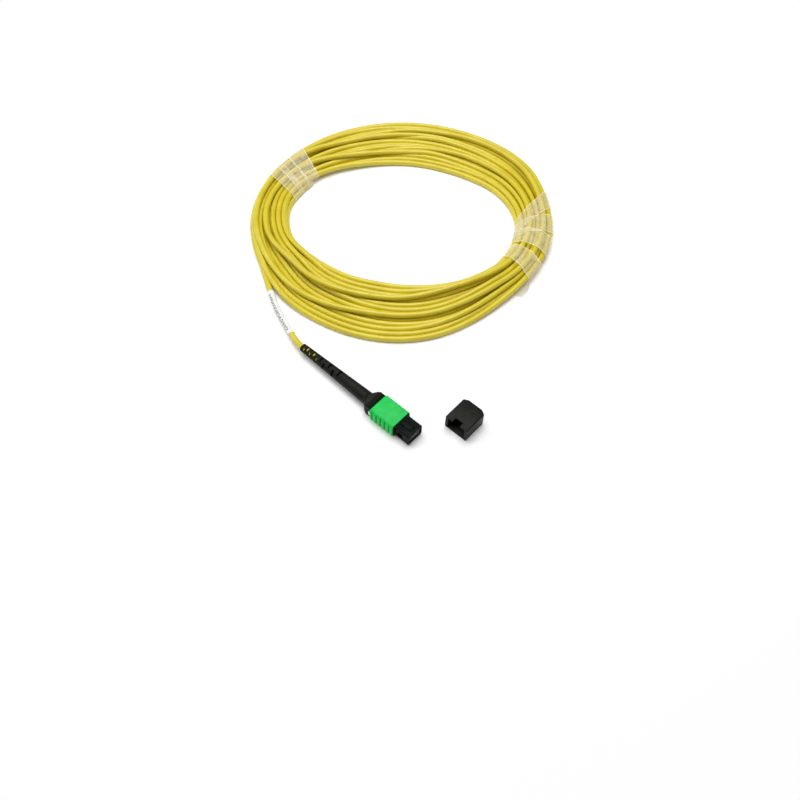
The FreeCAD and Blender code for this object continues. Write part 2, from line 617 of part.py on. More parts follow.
def make_mt_ferrule():
    """Moulded MT ferrule: angled face, two guide holes, fibre holes and a glue window."""
    body = new_body("mt_ferrule")
    block(body, "bar", FERRULE_REAR, "size.ferrule_length", "size.ferrule_width", "size.ferrule_height")
    block(body, "flange", FERRULE_REAR, "size.flange_length", "size.flange_width", "size.flange_height")
    slot = "size.boot_slot_depth"
    block(body, "boot_slot", FERRULE_REAR, slot, "size.boot_slot_width", "size.boot_slot_height", cut=True)
    window = new_sketch(body, "window", "XY_Plane", offset="size.fibre_diameter")
    middle = f"{FERRULE_REAR} + size.boot_slot_depth + size.window_length / 2"
    draw_rectangle(window, "size.window_length", "size.window_width", middle)
    extrude(body, window, "size.ferrule_height", cut=True)
    guides = new_sketch(body, "guide_holes", offset=FERRULE_REAR)
    for side in ("-", ""):
        draw_circle(guides, "size.guide_hole", f"{side}size.guide_pitch / 2")
    extrude(body, guides, "size.ferrule_length", cut=True)
    hole = new_sketch(body, "fibre_hole", offset=f"{FERRULE_REAR} + size.boot_slot_depth")
    draw_fibre(hole)
    bore = extrude(body, hole, "size.ferrule_length", cut=True)
    doc.recompute()
    row_of(body, bore, "Y_Axis", "(size.fibre_count - 1) * size.fibre_pitch", "size.fibre_count")
    doc.recompute()
    polish = new_sketch(body, "polish", "XZ_Plane")
    half = "size.ferrule_height / 2"
    back = "size.ferrule_height * tan(size.face_angle * 1deg)"
    draw_polygon(polish, [(FACE, f"-{half}"), (FACE, half), (f"{FACE} - {back}", half)])
    through(body, polish)


def make_ferrule_epoxy():
    """Cured glue that fills the ferrule's window down to the fibres."""
    body = new_body("ferrule_epoxy")
    fill = new_sketch(body, "fill", "XY_Plane", offset="size.fibre_diameter")
    middle = f"{FERRULE_REAR} + size.boot_slot_depth + size.window_length / 2"
    draw_rectangle(fill, "size.window_length", "size.window_width", middle)
    extrude(body, fill, "size.ferrule_height / 2 - size.fibre_diameter")


def make_ferrule_boot():
    """Elastomer boot that leads the ribbon into the ferrule."""
    body = new_body("ferrule_boot")
    gap = "2 * size.seat_gap"
    wide, high = f"size.boot_slot_width - {gap}", f"size.boot_slot_height - {gap}"
    block(body, "tongue", FERRULE_REAR, f"size.boot_slot_depth - {gap}", wide, high)
    collar = f"(size.keeper_length + {gap})"
    at = f"{FERRULE_REAR} - {collar}"
    block(body, "collar", at, collar, "size.boot_collar_width", "size.boot_collar_height")
    wide, high = f"size.ribbon_width + {gap}", f"size.ribbon_height + {gap}"
    block(body, "slit", at, f"{collar} + size.boot_slot_depth", wide, high, cut=True)


def make_pin_keeper():
    """Keeper behind the ferrule: a frame that the spring presses on."""
    body = new_body("pin_keeper")
    length = "size.keeper_length"
    gap = "4 * size.seat_gap"
    block(body, "frame", KEEPER_REAR, length, "size.flange_width", "size.keeper_height")
    wide, high = f"size.boot_collar_width + {gap}", f"size.boot_collar_height + {gap}"
    block(body, "opening", KEEPER_REAR, length, wide, high, cut=True)


def make_glass_fibres():
    """The bare glass, from the ribbon to the angled face."""
    body = new_body("glass_fibres")
    sketch = new_sketch(body, "fibre", offset=FIBRE_START)
    draw_fibre(sketch)
    reach = "size.ferrule_height / 2 * tan(size.face_angle * 1deg)"
    fibre = extrude(body, sketch, f"{FACE} - {FIBRE_START} - {reach}")
    doc.recompute()
    row_of(body, fibre, "Y_Axis", "(size.fibre_count - 1) * size.fibre_pitch", "size.fibre_count")


# ---------------------------------------------------------------- springs and ribbon


def coil_points(front, rear, half_wide, half_high, turns, corners):
    """Points of a spring wound between two stations, with a flat closing turn at each end."""
    points = []
    total = (turns + 2) * corners
    for index in range(total + 1):
        angle = 2 * math.pi * index / corners
        share = min(max((index - corners) / (total - 2 * corners), 0), 1)
        closing = min(index, corners) / corners + max(index - total + corners, 0) / corners
        points.append((share, closing, math.cos(angle) * half_wide, math.sin(angle) * half_high))
    return points


def make_spring(label, rear, front, wide, high, wire, turns, corners, across=0.0):
    """An oval coil spring along the plug, its end turns lying almost closed."""
    rear, front = value(rear) + value(wire) / 2, value(front) - value(wire) / 2
    closed = value(wire) * CLOSED_PITCH
    half_wide, half_high = (value(wide) - value(wire)) / 2, (value(high) - value(wire)) / 2
    middle = front - rear - 2 * closed
    points = []
    for share, closing, side, up in coil_points(front, rear, half_wide, half_high, turns, corners):
        points.append(VEC(rear + closing * closed + share * middle, across + side, up))
    spring = new_feature(label, sweep_wire(points, value(wire)))
    spring.Placement.Base = VEC(0, 0, value(AXIS_HEIGHT))


def make_springs():
    turns = int(value("size.spring_turns"))
    rear = f"{CORE_FRONT} + size.seat_gap"
    front = f"{KEEPER_REAR} - size.seat_gap"
    wide, high, wire = "size.spring_width", "size.spring_height", "size.spring_wire"
    make_spring("ferrule_spring", rear, front, wide, high, wire, turns, 8)
    turns = int(value("size.side_spring_turns"))
    rear = f"{CHANNEL_REAR} + size.seat_gap"
    front = f"{CHANNEL_FRONT} - 2 * size.seat_gap - size.lug_length"
    wide, wire = "size.side_spring_diameter", "size.side_spring_wire"
    floor = f"{HOUSING_WIDTH} / 2 - size.channel_depth + size.seat_gap"
    offset = value(f"{floor} + size.side_spring_diameter / 2")
    for label, side in (("side_spring_left", 1), ("side_spring_right", -1)):
        make_spring(label, rear, front, wide, wide, wire, turns, 6, side * offset)


def make_fibre_ribbon():
    body = new_body("fibre_ribbon")
    length = f"{FIBRE_START} - {JACKET_START}"
    block(body, "ribbon", JACKET_START, length, "size.ribbon_width", "size.ribbon_height")


# ---------------------------------------------------------------- cable, coil, label, ties


def make_cable():
    """The free cable from inside the boot to the coil, and the label wrapped round it."""
    start = VEC(value(JACKET_START), 0, value(AXIS_HEIGHT))
    points = [start] + [VEC(*spot) for spot in LEAD_ROUTE]
    path, radii = smooth_path(points)
    diameter = value("size.cable_diameter")
    tube = sweep(path, diameter)
    section = math.pi * diameter ** 2 / 4
    print("cable radii", [round(radius) for radius in radii])
    print("cable volume", round(tube.Volume, 1), "section x length", round(section * path.Length, 1))
    new_feature("cable_lead", tube)
    second_bend, straight = path.OrderedEdges[3:5]
    wrapped = Part.Wire([second_bend, straight])
    outside = sweep(wrapped, diameter + 2 * value("size.label_wall"))
    new_feature("cable_label", outside.cut(sweep(wrapped, diameter)))


def draw_oval(sketch, half_long, half_short, end_radius):
    """A four-arc oval about the middle, its long axis across the sketch."""
    side_radius = (
        f"(({half_long}) ^ 2 + ({half_short}) ^ 2 - 2 * ({half_long}) * ({end_radius}))"
        f" / (2 * (({half_short}) - ({end_radius})))"
    )
    small, large = value(end_radius), value(side_radius)
    ends_out, sides_out = value(half_long) - small, large - value(half_short)
    meet = math.atan2(sides_out, ends_out)
    first = sketch.GeometryCount
    arcs = [
        (VEC(ends_out, 0, 0), small, meet),
        (VEC(0, -sides_out, 0), large, math.pi / 2 - meet),
        (VEC(-ends_out, 0, 0), small, meet),
        (VEC(0, sides_out, 0), large, math.pi / 2 - meet),
    ]
    for index, (middle, radius, half_angle) in enumerate(arcs):
        facing = index * math.pi / 2
        circle = Part.Circle(middle, VEC(0, 0, 1), radius)
        sketch.addGeometry(Part.ArcOfCircle(circle, facing - half_angle, facing + half_angle))
    for index in range(4):
        ends = (first + index, 2, first + (index + 1) % 4, 1)
        sketch.addConstraint(Sketcher.Constraint("Tangent", *ends))
    for index, side in ((0, ""), (2, "-")):
        bind(sketch, "DistanceX", (-1, 1, first + index, 3), f"{side}(({half_long}) - ({end_radius}))")
        bind(sketch, "DistanceY", (-1, 1, first + index, 3), "0")
        bind(sketch, "Radius", (first + index,), end_radius)
        bind(sketch, "Radius", (first + index + 1,), side_radius)


def oval_ring(label, grow):
    """The coil's form, grown all round: a round outside and an oval opening, so it fans out."""
    body = new_body(label, f"size.film_wall - {grow}")
    body.setExpression("Placement.Base.x", "size.coil_centre_x")
    body.setExpression("Placement.Base.y", "size.coil_centre_y")
    body.setExpression("Placement.Rotation.Angle", "size.coil_turn")
    plan = new_sketch(body, label + "_plan", "XY_Plane")
    draw_circle(plan, f"2 * (size.coil_radius + {grow})")
    long_way, short_way = f"size.hole_half_long - {grow}", f"size.hole_half_short - {grow}"
    draw_oval(plan, long_way, short_way, f"size.hole_end_radius - {grow}")
    ring = extrude(body, plan, f"size.coil_height + 2 * {grow}")
    doc.recompute()
    level = [f"Edge{index}" for index, edge in enumerate(ring.Shape.Edges, start=1) if is_level(edge)]
    round_edges(body, ring, level, f"size.coil_corner + {grow}", "PartDesign::Chamfer")
    doc.recompute()
    return body


def is_level(edge):
    return edge.BoundBox.ZLength < 0.001


def make_coil_and_ties():
    """The coil's outer form, and the clear film wrapped round it in two places."""
    coil = oval_ring("cable_coil", "0")
    blank = oval_ring("film_blank", "size.film_wall")
    for label in ("film_tie_left", "film_tie_right"):
        side = label.replace("film_", "")
        sector = doc.addObject("Part::Cylinder", label + "_sector")
        sector.setExpression("Radius", "2 * size.coil_radius")
        sector.setExpression("Height", "2 * size.coil_height")
        sector.setExpression("Angle", f"size.{side}_span")
        sector.setExpression("Placement.Rotation.Angle", f"size.coil_turn + size.{side}_from")
        sector.setExpression("Placement.Base.x", "size.coil_centre_x")
        sector.setExpression("Placement.Base.y", "size.coil_centre_y")
        slice_of = doc.addObject("Part::Common", label + "_slice")
        slice_of.Base = blank
        slice_of.Tool = sector
        tie = doc.addObject("Part::Cut", label)
        tie.Label = label
        tie.Base = slice_of
        tie.Tool = coil
    doc.recompute()


# ---------------------------------------------------------------- the dust cap


def make_dust_cap():
    """Taken off and lying beside the nose: a deep cap with a keyed mouth towards the plug."""
    body = new_body("dust_cap", "size.cap_height / 2")
    body.setExpression("Placement.Base.x", "size.cap_x")
    body.setExpression("Placement.Base.y", "size.cap_y")
    plan = new_sketch(body, "plan", "XY_Plane", offset="-size.cap_height / 2")
    half, shoulder = "size.cap_width / 2", "size.cap_length - size.cap_corner_along"
    narrow = "size.cap_width / 2 - size.cap_corner_across"
    corners = [(f"-{half}", "0"), (half, "0"), (half, shoulder), (narrow, "size.cap_length")]
    corners += [(f"-({narrow})", "size.cap_length"), (f"-{half}", shoulder)]
    draw_polygon(plan, corners)
    solid = extrude(body, plan, "size.cap_height")
    doc.recompute()
    outer = long_edges(solid.Shape, VEC(0, 1, 0))
    round_edges(body, solid, outer, "size.cap_edge")
    nose = new_sketch(body, "inside", "XZ_Plane")
    draw_rectangle(nose, "size.nose_width + 2 * size.cap_gap", f"{HOUSING_HEIGHT} + 2 * size.cap_gap")
    extrude(body, nose, "size.cap_depth", cut=True, onwards=False)
    channel = new_sketch(body, "key_channel", "XZ_Plane")
    rise = "(size.key_height + size.cap_channel_gap)"
    top = f"{HOUSING_HEIGHT} / 2"
    wide = "size.key_width + 2 * size.cap_channel_gap"
    draw_rectangle(channel, wide, rise, "0", f"{top} + {rise} / 2")
    extrude(body, channel, "size.key_length + size.cap_channel_gap", cut=True, onwards=False)
    notch = new_sketch(body, "notch", "XZ_Plane")
    high = "size.cap_height / 2"
    draw_rectangle(notch, "size.cap_notch_width", high, "0", f"{top} + {high} / 2")
    extrude(body, notch, "size.cap_notch_length", cut=True, onwards=False)


# ---------------------------------------------------------------- build, check, write

NODES = [
    "coupling_sleeve", "inner_housing", "rear_body", "crimp_ring", "aramid_yarn",
    "strain_relief_boot", "mt_ferrule", "ferrule_epoxy", "ferrule_boot", "pin_keeper",
    "glass_fibres", "ferrule_spring", "side_spring_left", "side_spring_right", "fibre_ribbon",
    "cable_lead", "cable_label", "cable_coil", "film_tie_left", "film_tie_right", "dust_cap",
]


def build():
    make_coupling_sleeve()
    make_inner_housing()
    make_rear_body()
    make_crimp_ring()
    make_aramid_yarn()
    make_strain_relief_boot()
    make_mt_ferrule()
    make_ferrule_epoxy()
    make_ferrule_boot()
    make_pin_keeper()
    make_glass_fibres()
    make_springs()
    make_fibre_ribbon()
    make_cable()
    make_coil_and_ties()
    make_dust_cap()
    doc.recompute()


def check():
    for item in doc.Objects:
        bad = [state for state in item.State if state in ("Invalid", "Error")]
        if bad:
            raise RuntimeError(f"{item.Name} is {bad}")


def write():
    os.makedirs("parts", exist_ok=True)
    for name in NODES:
        shape = doc.getObject(name).Shape
        if shape.isNull() or not shape.isValid():
            raise RuntimeError(f"{name} has no valid shape")
        print(name, "solids", len(shape.Solids), "volume", round(shape.Volume, 2), "mm3")
        shape.exportStep(f"parts/{name}.step")


build()
check()
write()
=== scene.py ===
"""MPO fibre pigtail: finish, lay and light. Everything is in metres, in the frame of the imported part."""
import math
import random

import bmesh
import bpy
from mathutils import Matrix, Vector


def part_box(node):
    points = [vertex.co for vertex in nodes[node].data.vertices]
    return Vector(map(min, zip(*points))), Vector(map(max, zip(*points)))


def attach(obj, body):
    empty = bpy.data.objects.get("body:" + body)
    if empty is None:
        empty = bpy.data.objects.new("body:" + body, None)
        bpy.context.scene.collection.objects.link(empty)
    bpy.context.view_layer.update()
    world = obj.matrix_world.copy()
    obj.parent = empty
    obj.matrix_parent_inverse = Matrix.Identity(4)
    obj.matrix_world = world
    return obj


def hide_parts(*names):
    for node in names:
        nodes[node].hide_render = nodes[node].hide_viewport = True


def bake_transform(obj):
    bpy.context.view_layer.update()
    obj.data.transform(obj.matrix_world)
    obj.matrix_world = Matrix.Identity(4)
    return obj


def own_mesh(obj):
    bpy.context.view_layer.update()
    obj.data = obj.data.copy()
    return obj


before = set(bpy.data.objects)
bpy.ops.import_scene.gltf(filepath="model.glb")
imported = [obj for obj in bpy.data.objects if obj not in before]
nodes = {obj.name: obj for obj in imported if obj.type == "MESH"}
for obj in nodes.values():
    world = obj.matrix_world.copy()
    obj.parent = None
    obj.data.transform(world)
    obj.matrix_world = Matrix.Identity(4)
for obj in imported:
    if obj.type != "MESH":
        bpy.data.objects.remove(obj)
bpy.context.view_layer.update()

MM = 0.001
CABLE_MM = 3.0
CABLE = CABLE_MM * MM
BOOT_END = Vector((-57.5, 0.0, 3.9)) * MM  # where the cable comes out


# ---------------------------------------------------------------- materials


def linear(code):
    """A colour written as an sRGB hex string, as the linear values that a shader takes."""
    values = []
    for place in (1, 3, 5):
        value = int(code[place:place + 2], 16) / 255
        values.append(value / 12.92 if value <= 0.04045 else ((value + 0.055) / 1.055) ** 2.4)
    return (*values, 1.0)


def add_node(tree, kind, inputs=None, **settings):
    """Add a node with its settings; inputs maps a socket to a value or to another node's output."""
    made = tree.nodes.new(kind)
    for name, setting in settings.items():
        setattr(made, name, setting)
    for socket, source in (inputs or {}).items():
        if isinstance(source, bpy.types.NodeSocket):
            tree.links.new(source, made.inputs[socket])
        else:
            made.inputs[socket].default_value = source
    return made


def maths(tree, operation, *values):
    """Output of a sum done on these values or outputs."""
    return add_node(tree, "ShaderNodeMath", dict(enumerate(values)), operation=operation).outputs[0]


def distance_from(tree, value, middle):
    """How far a value is from the middle, to either side."""
    return maths(tree, "ABSOLUTE", maths(tree, "SUBTRACT", value, middle))


def spanned(tree, value, starts, ends, **settings):
    """A value taken from one span to another: starts and ends are pairs of what it was and becomes."""
    span = {"From Min": starts[0], "To Min": starts[1], "From Max": ends[0], "To Max": ends[1]}
    return add_node(tree, "ShaderNodeMapRange", {"Value": value, **span}, **settings).outputs["Result"]


def mixed_tones(tree, share, first, second):
    """The first colour where the share is 0, and the second where it is 1."""
    tones = {0: share, 6: linear(first), 7: linear(second)}
    return add_node(tree, "ShaderNodeMix", tones, data_type="RGBA").outputs[2]


def ramp(tree, value, deep, light, margin):
    """Deep to light with the value, flat for a margin at either end."""
    made = add_node(tree, "ShaderNodeValToRGB", {"Fac": value})
    for element, place, code in zip(made.color_ramp.elements, (margin, 1 - margin), (deep, light)):
        element.position = place
        element.color = linear(code)
    return made.outputs["Color"]


def new_material(name):
    material = bpy.data.materials.new(name)
    material.use_nodes = True
    material.node_tree.nodes.clear()
    return material


def finish_surface(tree, inputs):
    """Give the material one principled shader with these inputs."""
    shader = add_node(tree, "ShaderNodeBsdfPrincipled", inputs)
    add_node(tree, "ShaderNodeOutputMaterial", {"Surface": shader.outputs["BSDF"]})


def moulded(name, deep, light, roughness, blotch_mm, grain_mm, relief_mm, gloss=0.5, coat=0.0):
    """A moulded or extruded finish: slow mottling of the colour, fine grain, roughness that varies."""
    # The real grain of such parts is far finer. It is drawn this coarse so that it shows in the render.
    material = new_material(name)
    tree = material.node_tree
    place = add_node(tree, "ShaderNodeTexCoord").outputs["Object"]
    size = {"Vector": place, "Scale": 1 / (blotch_mm * MM), "Detail": 4.0, "Roughness": 0.55}
    blotch = add_node(tree, "ShaderNodeTexNoise", size).outputs["Fac"]
    size = {"Vector": place, "Scale": 1 / (grain_mm * MM), "Detail": 3.0, "Roughness": 0.6}
    grain = add_node(tree, "ShaderNodeTexNoise", size).outputs["Fac"]
    bump = add_node(tree, "ShaderNodeBump", {"Height": grain, "Distance": relief_mm * MM})
    finish_surface(tree, {
        "Base Color": ramp(tree, blotch, deep, light, margin=0.3),
        "Roughness": spanned(tree, grain, (0.0, roughness - 0.06), (1.0, roughness + 0.06)),
        "Normal": bump.outputs["Normal"],
        "Specular IOR Level": gloss,
        "Coat Weight": coat,
        "Coat Roughness": 0.2,
    })
    return material


def drawn_metal(name, deep, light, roughness, streak_mm):
    """Metal with fine streaks along the plug, as drawing or stamping leaves."""
    material = new_material(name)
    tree = material.node_tree
    place = add_node(tree, "ShaderNodeTexCoord").outputs["Object"]
    stretch = add_node(tree, "ShaderNodeMapping", {"Vector": place, "Scale": (0.12, 1.0, 1.0)})
    size = {"Vector": stretch.outputs["Vector"], "Scale": 1 / (streak_mm * MM), "Detail": 5.0}
    streak = add_node(tree, "ShaderNodeTexNoise", size).outputs["Fac"]
    finish_surface(tree, {
        "Base Color": ramp(tree, streak, deep, light, margin=0.35),
        "Roughness": spanned(tree, streak, (0.0, roughness - 0.08), (1.0, roughness + 0.08)),
        "Metallic": 1.0,
    })
    return material


# Extruded low-smoke jacket: one even yellow, a soft satin line of light along every turn.
JACKET = moulded(
    "extruded_yellow_jacket", "#CEBB1F", "#D9C831",
    roughness=0.36, blotch_mm=9.0, grain_mm=0.35, relief_mm=0.008, coat=0.15,
)
# Injection-moulded ABS, satin: the bright green grip, faintly mottled, with the mould's fine grain.
GREEN_ABS = moulded(
    "moulded_green_abs", "#09BA48", "#14C955",
    roughness=0.44, blotch_mm=3.0, grain_mm=0.22, relief_mm=0.016, gloss=0.22,
)
# Glass-filled black thermoplastic of the plug's frame: almost black, with hardly any shine. Its green tint
# is a painted reflection of the green sleeve.
BLACK_PBT_WITH_PAINTED_REFLECTION = moulded(
    "black_pbt_painted_green_reflection", "#050E08", "#0A160E",
    roughness=0.42, blotch_mm=2.0, grain_mm=0.20, relief_mm=0.012, gloss=0.05,
)
# Polypropylene of the cap: a warmer black in a coarser, duller grain.
CAP_BLACK = moulded(
    "moulded_black_polypropylene", "#12130D", "#1B1C14",
    roughness=0.48, blotch_mm=3.0, grain_mm=0.26, relief_mm=0.016, gloss=0.12,
)
# Soft black thermoplastic elastomer: matt, with a faint bloom.
BOOT_TPE = moulded(
    "moulded_black_elastomer", "#0D0F08", "#17190F",
    roughness=0.55, blotch_mm=4.0, grain_mm=0.26, relief_mm=0.014, gloss=0.16,
)
# Transfer-moulded filled resin: dense, nearly black, with a polished end.
FERRULE_RESIN = moulded(
    "filled_ferrule_resin", "#131517", "#1C1E20",
    roughness=0.30, blotch_mm=1.0, grain_mm=0.08, relief_mm=0.001, gloss=0.2,
)
# Amber glue, poured and cured: smooth and wet-looking.
CURED_GLUE = moulded(
    "cured_amber_glue", "#A98A45", "#C3A45C",
    roughness=0.15, blotch_mm=0.8, grain_mm=0.30, relief_mm=0.002, gloss=0.6,
)
# White ink, pad-printed on the frame: flat, with the plastic's grain showing through.
WHITE_INK = moulded(
    "printed_white_ink", "#E2E3DE", "#F0F0EC",
    roughness=0.45, blotch_mm=1.5, grain_mm=0.20, relief_mm=0.006, gloss=0.4,
)
# Small grey elastomer boot inside the ferrule: matt and even.
GREY_ELASTOMER = moulded(
    "moulded_grey_elastomer", "#4A4B4D", "#58595B",
    roughness=0.55, blotch_mm=1.0, grain_mm=0.10, relief_mm=0.003,
)
# Acrylate-coated ribbon, glossy and milky.
RIBBON_ACRYLATE = moulded(
    "coated_fibre_ribbon", "#C9D3DD", "#DCE4EB",
    roughness=0.22, blotch_mm=1.2, grain_mm=0.25, relief_mm=0.001,
)
# Bare glass, bright and pale where its cut ends show.
BARE_GLASS = moulded(
    "cleaved_glass_fibre", "#DDE7EC", "#F1F6F8",
    roughness=0.08, blotch_mm=0.3, grain_mm=0.05, relief_mm=0.0005, gloss=0.45,
)
# Twisted aramid filaments, yellow and silky.
ARAMID = moulded(
    "aramid_yarn", "#CDB04A", "#E0C766",
    roughness=0.62, blotch_mm=0.6, grain_mm=0.08, relief_mm=0.02,
)
# Bright drawn wire, with fine lines along it.
SPRING_STEEL = drawn_metal("drawn_spring_steel", "#9C9C98", "#BDBDB9", roughness=0.30, streak_mm=0.20)
# Stamped sheet, greyer and duller than the wire.
KEEPER_STEEL = drawn_metal("stamped_steel", "#8F9092", "#B2B3B5", roughness=0.34, streak_mm=0.25)
# Turned ring, pale and clean.
CRIMP_ALUMINIUM = drawn_metal("turned_aluminium", "#B7B8BA", "#D2D3D4", roughness=0.32, streak_mm=0.15)


def coat(mesh, material):
    mesh.materials.clear()
    mesh.materials.append(material)


# The pieces inside the plug keep their CAD shape, and take a material.
for node, material in {
    "crimp_ring": CRIMP_ALUMINIUM,
    "aramid_yarn": ARAMID,
    "mt_ferrule": FERRULE_RESIN,
    "ferrule_epoxy": CURED_GLUE,
    "ferrule_boot": GREY_ELASTOMER,
    "pin_keeper": KEEPER_STEEL,
    "glass_fibres": BARE_GLASS,
    "rear_body": BLACK_PBT_WITH_PAINTED_REFLECTION,
}.items():
    coat(nodes[node].data, material)


# ---------------------------------------------------------------- making pieces


def new_mesh(work, name):
    """A mesh from a bmesh that is finished with."""
    mesh = bpy.data.meshes.new(name)
    work.to_mesh(mesh)
    work.free()
    return mesh


def new_piece(name, mesh, material):
    piece = bpy.data.objects.new(name, mesh)
    bpy.context.scene.collection.objects.link(piece)
    coat(mesh, material)
    return piece


def round_edges(work, edges, radius_mm, segments):
    bmesh.ops.bevel(
        work, geom=edges, offset=radius_mm * MM, offset_type="OFFSET", segments=segments,
        profile=0.5, affect="EDGES", clamp_overlap=True, material=-1,
    )


def smooth_by_angle(mesh, degrees):
    """Smooth shading, apart from edges that turn more than this."""
    mesh.shade_smooth()
    mesh.set_sharp_from_angle(angle=math.radians(degrees))


def softened(node, name, material, body, edge_mm, sharp=35.0):
    """A piece from its CAD solid, with the small radius that every moulded edge has."""
    work = bmesh.new()
    work.from_mesh(nodes[node].data)
    bmesh.ops.remove_doubles(work, verts=work.verts, dist=0.002 * MM)
    if edge_mm:
        flat = math.radians(1.0)
        bmesh.ops.dissolve_limit(work, angle_limit=flat, verts=work.verts, edges=work.edges)
        limit = math.radians(sharp)
        edges = [e for e in work.edges if len(e.link_faces) == 2 and e.calc_face_angle() > limit]
        round_edges(work, edges, edge_mm, 2)
    mesh = new_mesh(work, name)
    smooth_by_angle(mesh, sharp - 3)
    piece = new_piece(name, mesh, material)
    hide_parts(node)
    if body:
        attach(piece, body)
    return piece


def charted_sheet(chart_name, columns, rows):
    """A flat sheet, 1 by 1 about its middle, with a UV chart of its own."""
    work = bmesh.new()
    bmesh.ops.create_grid(work, x_segments=columns, y_segments=rows, size=0.5)
    chart = work.loops.layers.uv.new(chart_name)
    for face in work.faces:
        for loop in face.loops:
            loop[chart].uv = (loop.vert.co.x + 0.5, loop.vert.co.y + 0.5)
    return work


def bent_piece(work, name, material):
    """A smooth piece from a sheet that has been bent."""
    bmesh.ops.recalc_face_normals(work, faces=work.faces)
    mesh = new_mesh(work, name)
    mesh.shade_smooth()
    return new_piece(name, mesh, material)


# ---------------------------------------------------------------- sleeve, frame, cap, boot

softened("coupling_sleeve", "grip_sleeve", GREEN_ABS, "sleeve", 0.14)
softened("inner_housing", "plug_frame", BLACK_PBT_WITH_PAINTED_REFLECTION, "plug", 0.06)
softened("dust_cap", "cap_shell", CAP_BLACK, "plug", 0.12)
boot = softened("strain_relief_boot", "ribbed_boot", BOOT_TPE, "plug", 0.0)


def black_tube_under_wide_slots(mesh, middle_mm=-38.0, length_mm=16.0, radius_mm=1.6):
    """A closed tube of the boot's black round the cable under the wider slots, so that only the slots at
    the cable end show the cable.
    """
    middle = Vector((middle_mm * MM, BOOT_END.y, BOOT_END.z))
    turned = Matrix.Translation(middle) @ Matrix.Rotation(math.pi / 2, 4, "Y")
    work = bmesh.new()
    work.from_mesh(mesh)
    bmesh.ops.create_cone(
        work, segments=32, radius1=radius_mm * MM, radius2=radius_mm * MM, depth=length_mm * MM,
        matrix=turned,
    )
    work.to_mesh(mesh)
    work.free()
    smooth_by_angle(mesh, 32)


black_tube_under_wide_slots(boot.data)


def fibre_one_mark(along_mm=-7.85, up_mm=3.1, length_mm=1.3, height_mm=3.2, corner_mm=0.25, ink_mm=0.06):
    """The white mark behind the sleeve that shows the side of the first fibre."""
    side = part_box("inner_housing")[0].y
    work = bmesh.new()
    bmesh.ops.create_cube(work, size=1.0)
    bmesh.ops.scale(work, vec=Vector((length_mm, ink_mm, height_mm)) * MM, verts=work.verts)
    corners = [e for e in work.edges if abs((e.verts[0].co - e.verts[1].co).y) > 0.01 * MM]
    round_edges(work, corners, corner_mm, 3)
    bmesh.ops.translate(work, vec=Vector((along_mm * MM, side, up_mm * MM)), verts=work.verts)
    mark = new_piece("fibre_one_mark", new_mesh(work, "fibre_one_mark"), WHITE_INK)
    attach(mark, "plug")


fibre_one_mark()


# ---------------------------------------------------------------- springs and ribbon


def wire_spring(node):
    """A wire spring from its CAD solid, smooth along its wire, with a mesh of its own."""
    spring = softened(node, node + "_wire", SPRING_STEEL, "plug", 0.0, 75.0)
    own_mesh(spring)


wire_spring("side_spring_left")
wire_spring("side_spring_right")
wire_spring("ferrule_spring")

ribbon = softened("fibre_ribbon", "coated_ribbon", RIBBON_ACRYLATE, None, 0.0)
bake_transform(ribbon)


# ---------------------------------------------------------------- the coil's lay

# Angles are in degrees round the coil: 0 is the right end of its long axis, and the front is negative.
COIL_CENTRE = Vector((-80.8, 97.0))  # mm
COIL_TURN = 40.84                    # long axis of the opening from +X
OUTER = 82.9                         # mm, radius outside
HOLE_LONG, HOLE_SHORT = 63.2, 46.7   # mm, half the opening each way
STEP = 15                            # from point to point along a turn
LEAD_ANGLE = -165                    # where the lead runs in beside the coil
LAST_ANGLE = 140                     # the cut end, tucked under the left film
CROSS_ANGLE = 115                    # where a turn starts to cross to its next place,
CROSSING = 65                        # and how far round it takes
TURNS = 12                           # places across the bundle, less one
PAIRS = TURNS // 2                   # a turn on the table and the one that rides beside it
TOUCH = CABLE_MM                     # mm between touching turns
HALF = CABLE_MM / 2
CLOSEST = 1.53                       # mm between places, where one turn lies on two others
LOOSE = 0.34                         # mm more between turns, half-way between the ties
HIGHEST = 5.3                        # mm, the most that a turn on top stands above those on the table
TABLE_GAP = 0.02                     # mm under the lowest turns
EVEN_FROM = 35                       # from either side, where the rear comes to lie evenly
CREVICE_PLACE = 8                    # the gap that stays open at the front left,
CREVICE_ANGLE, CREVICE_WIDTH = -122, 38
LEAN_ANGLE, LEAN_WIDTH = -150, 50    # and where the riding turns lean away from it,
LEAN = 0.45                          # mm
# Turns that climb on top: their places at even steps from the rear over the right, the front and the left
OUTER_CLIMB = (9.2, 8.8, 8.0, 6.9, 6.8, 8.8, 10.6, 9.4, 7.8)
INNER_CLIMB = (4.2, 4.0, 3.4, 2.6, 3.2, 5.2, 7.4, 5.6, 2.8)
# The places that the cable takes, pass by pass
PASSES = [12, 11, 10, 9, OUTER_CLIMB, 8, 7, 6, 5, 4, INNER_CLIMB, 3, 2, 1, 0]
# How far in mm the turns stray from a true oval inside and circle outside, every 15 degrees from -180
STRAY = [
    (-0.3, -1.0), (-2.2, -1.5), (-4.7, -1.2), (-4.4, -0.6), (-3.4, -1.4), (-3.3, -1.0),
    (-2.1, -1.0), (-1.2, -2.2), (-0.2, -5.0), (0.7, -6.2), (1.0, -4.4), (1.4, -2.6),
    (1.0, -0.6), (0.4, 1.2), (0.5, 4.2), (-0.6, 4.4), (-0.5, 3.4), (0.4, 2.4),
    (0.8, 1.6), (0.8, 1.0), (1.0, 0.6), (1.5, 0.4), (1.2, 0.3), (1.2, 0.3),
]
rng = random.Random(12)


def drift():
    """Three waves round the coil, as (size, phase, number of waves)."""
    return [(rng.uniform(-1, 1), rng.uniform(0, 2 * math.pi), wave) for wave in (1, 2, 3)]


